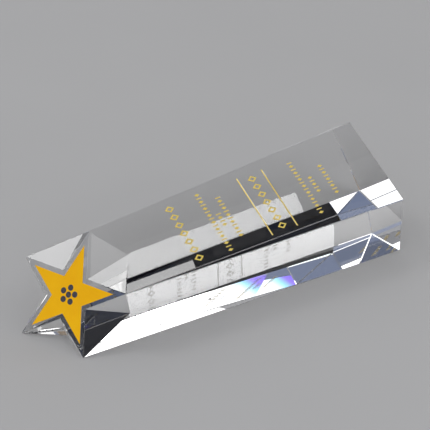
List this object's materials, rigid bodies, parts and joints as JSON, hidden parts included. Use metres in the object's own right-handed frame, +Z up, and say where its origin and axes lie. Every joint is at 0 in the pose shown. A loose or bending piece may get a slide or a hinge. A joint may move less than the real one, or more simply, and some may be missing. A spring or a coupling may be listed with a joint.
{
  "type": "star trophy",
  "caption": "Solid crystal column lying on its side, cut obliquely at its head into a carved star with a gold star and gold filled engraving.",
  "frame": {"origin": "on the surface the column lies on, under the middle of its bounding box", "axes": "+X along the lying column, from the star head to the base end; +Z up; -Y towards the lower long side face next to the front face"},
  "size_m": [0.1999, 0.0715, 0.0569],
  "materials": {
    "crystal": "polished, clear optical crystal",
    "star_gold": "opaque gold enamel, satin",
    "emblem_enamel": "dark grey enamel",
    "engraving_gold": "gold leaf laid in sandblasted engraving"
  },
  "bodies": {
    "root": {"crystal_body": "crystal", "star_fill": "star_gold", "star_emblem": "emblem_enamel", "title_band": "engraving_gold", "citation_band_1": "engraving_gold", "citation_band_2": "engraving_gold", "citation_band_3": "engraving_gold", "rule_upper": "engraving_gold", "name_band": "engraving_gold", "rule_lower": "engraving_gold", "place_band_1": "engraving_gold", "place_band_2": "engraving_gold", "place_band_3": "engraving_gold"}
  },
  "joints": []
}
